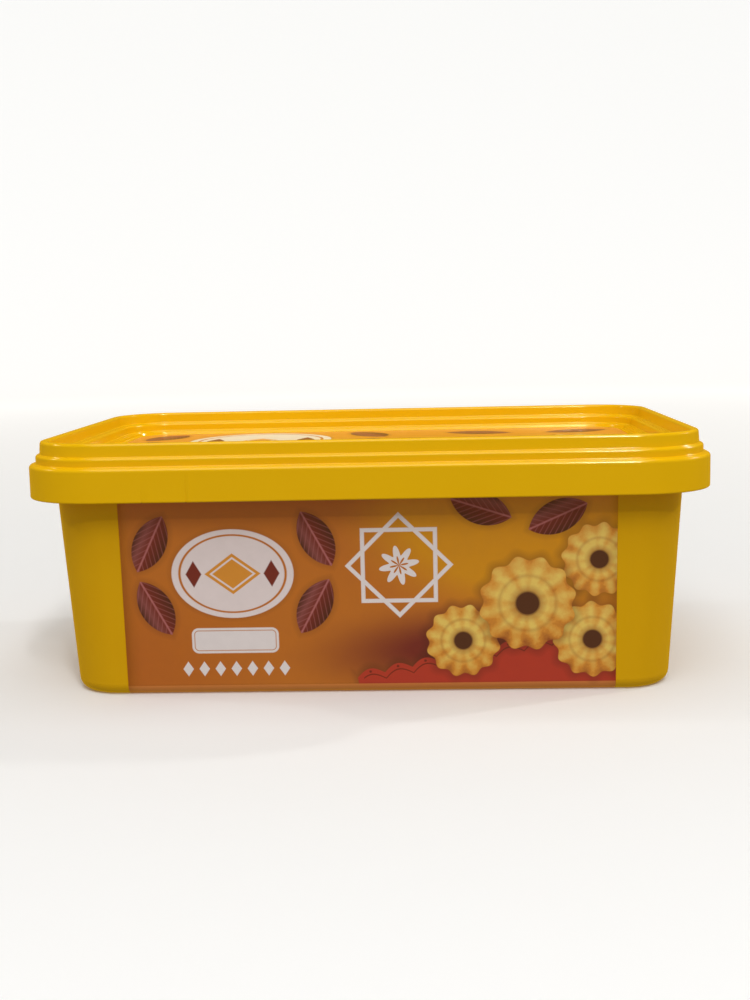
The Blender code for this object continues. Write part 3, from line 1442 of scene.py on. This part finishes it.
@dataclass(frozen=True)
class Studio:
    """A pale bowl-shaped floor, and a warm card of the same shape, under plain soft light."""

    flat_rings: tuple[float, ...] = (0.02, 0.6, 1.2)
    floor_radius: float = 1.9
    wall_radius: float = 1.1
    wall_height: float = 1.9
    curve_steps: int = 17
    turn_steps: int = 96
    floor_colour: Colour = (0.86, 0.86, 0.85)
    card_colour: Colour = (0.0, 0.0, 0.0)
    fleck_colour: Colour = (0.7, 0.7, 0.7)
    fleck_scale: float = 60.0
    fleck_strength: float = 0.04
    paper_roughness: float = 0.9
    near_glow: Colour = (0.02, 0.02, 0.02)
    far_glow: Colour = (0.60, 0.60, 0.59)
    glow_from: float = 0.15
    glow_over: float = 1.5
    card_glow: Colour = (0.62, 0.35, 0.012)
    sky_strength: float = 0.31
    lights: tuple[SoftLight, ...] = (
        SoftLight("key_light", 12.8, 35.0, distance=1.7, width=0.06, height=0.06, power=2.6),
        SoftLight("strip_light", 15.0, 46.0, distance=1.7, width=0.055, height=0.45, power=4.6),
        SoftLight("front_light", 0.0, 54.0, distance=1.8, width=1.1, height=1.1, power=8.2),
        SoftLight("overhead_light", 0.0, 84.0, distance=1.8, width=1.5, height=1.5, power=9.5),
        SoftLight("right_light", 108.0, 28.0, distance=1.6, width=0.06, height=0.06, power=4.0),
        SoftLight("left_light", -97.0, 33.0, distance=1.6, width=0.05, height=0.05, power=1.8),
    )

    def bowl(self, name: str, paper: bpy.types.Material) -> bpy.types.Object:
        """Turns a profile round the Z axis: a flat disc, a quarter circle and a short wall.

        Along the quarter circle the radius grows by the sine of the angle and the height by one less
        its cosine, both times the circle's own radius.

        Args:
            name: the bowl's name.
            paper: what it is made of.

        Returns:
            The bowl.
        """
        curve = np.linspace(0, QUARTER, self.curve_steps)
        radius = np.concatenate([self.flat_rings, self.floor_radius + self.wall_radius * np.sin(curve)])
        height = np.concatenate([np.zeros(len(self.flat_rings)), self.wall_radius * (1 - np.cos(curve))])
        radius = np.append(radius, radius[-1])
        height = np.append(height, height[-1] + self.wall_height)
        turn = np.linspace(0, 2 * math.pi, self.turn_steps, endpoint=False)[None]
        grid = np.empty((len(radius), turn.size, 3))
        grid[..., 0] = radius[:, None] * np.cos(turn)
        grid[..., 1] = -radius[:, None] * np.sin(turn)
        grid[..., 2] = height[:, None]
        made = surface(name, grid, wraps=True, ends=Ends.FIRST)
        made.data.materials.append(paper)
        return made

    def paper(self, name: str, colour: Colour) -> Graph:
        """Starts a matt, faintly flecked paper that glows by its emission colour.

        Args:
            name: the paper's name.
            colour: its colour.

        Returns:
            Its graph, for the emission colour to be set.
        """
        graph = Graph(name)
        fleck = graph.noise(graph.object_point(), self.fleck_scale, detail=3.0)
        graph.set(
            base_color=graph.mixed(fleck * self.fleck_strength, colour, self.fleck_colour),
            roughness=self.paper_roughness,
            emission_strength=1.0,
        )
        return graph

    def make_floor(self) -> bpy.types.Object:
        """Lays the floor, which neither lights the tub nor shows in its gloss.

        It glows more the further it lies from the tub: the glow's share is the distance from the Z
        axis plus the height, less where it starts, over how far it takes to be full.

        Returns:
            The floor.
        """
        graph = self.paper("studio_paper", self.floor_colour)
        x, y, z = graph.parts_of(graph.object_point())
        share = ((x.hypotenuse(y) + z - self.glow_from) / self.glow_over).clamped()
        graph.set(emission_color=graph.mixed(share, self.near_glow, self.far_glow))
        floor = self.bowl("studio_floor", graph.material)
        floor.visible_diffuse = False
        floor.visible_glossy = False
        return floor

    def make_card(self) -> bpy.types.Object:
        """Hangs a warm card all round, which shows only in the tub's gloss.

        Returns:
            The card.
        """
        graph = self.paper("warm_card_paper", self.card_colour)
        graph.set(emission_color=self.card_glow)
        card = self.bowl("warm_card", graph.material)
        card.visible_camera = False
        card.visible_diffuse = False
        card.visible_transmission = False
        card.visible_shadow = False
        return card

    def make(self) -> None:
        """Lays the floor, hangs the card and the lights and sets a soft white sky."""
        self.make_floor()
        self.make_card()
        for light in self.lights:
            light.make()
            LOG.info("%s hung", light.name)
        scene = bpy.context.scene
        scene.world = bpy.data.worlds.new("soft_sky")
        scene.world.use_nodes = True
        sky = scene.world.node_tree.nodes["Background"]
        sky.inputs["Color"].default_value = (1.0, 1.0, 1.0, 1.0)
        sky.inputs["Strength"].default_value = self.sky_strength
        scene.world.cycles_visibility.glossy = False
        scene.view_settings.view_transform = "Standard"


@dataclass(frozen=True)
class Viewpoint:
    """The camera: where it stands, how it is turned, in radians, and its lens in millimetres."""

    place: tuple[float, float, float] = (0.01893, -0.47749, 0.11886)
    yaw: float = 0.03894
    pitch: float = 0.13467
    roll: float = -0.02193
    lens: float = 47.72
    sensor: float = 36.0

    def make(self) -> bpy.types.Object:
        """Places the camera.

        It looks along +Y turned left by yaw and down by pitch, then rolls about that line.

        Returns:
            The camera.
        """
        flat = math.cos(self.pitch)
        ahead = Vector((-math.sin(self.yaw) * flat, math.cos(self.yaw) * flat, -math.sin(self.pitch)))
        level = Vector((math.cos(self.yaw), math.sin(self.yaw), 0.0))
        upright = level.cross(ahead)
        right = level * math.cos(self.roll) + upright * math.sin(self.roll)
        up = upright * math.cos(self.roll) - level * math.sin(self.roll)
        turned = Matrix((right, up, -ahead)).transposed()
        lens = bpy.data.cameras.new("viewpoint")
        lens.lens = self.lens
        lens.sensor_width = self.sensor
        camera = bpy.data.objects.new("viewpoint", lens)
        camera.matrix_world = Matrix.Translation(self.place) @ turned.to_4x4()
        bpy.context.scene.collection.objects.link(camera)
        bpy.context.scene.camera = camera
        return camera


def main() -> None:
    """Builds the lid, the tub and its films, then the studio and the viewpoint."""
    logging.basicConfig(level=logging.INFO, format="%(name)s: %(message)s")
    footprint = Footprint.of_node("lid")
    lid = Lid(footprint)
    tub = Tub(footprint)
    lid.build_shell(LID_PLASTIC.make())
    tub.build_shell(TUB_PLASTIC.make())
    lid.build_film(LID_PRINT.make())
    wall_film = WALL_PRINT.make()
    for side in Side:
        tub.build_film(side, wall_film)
    Studio().make()
    Viewpoint().make()


if __name__ == "__main__":
    main()
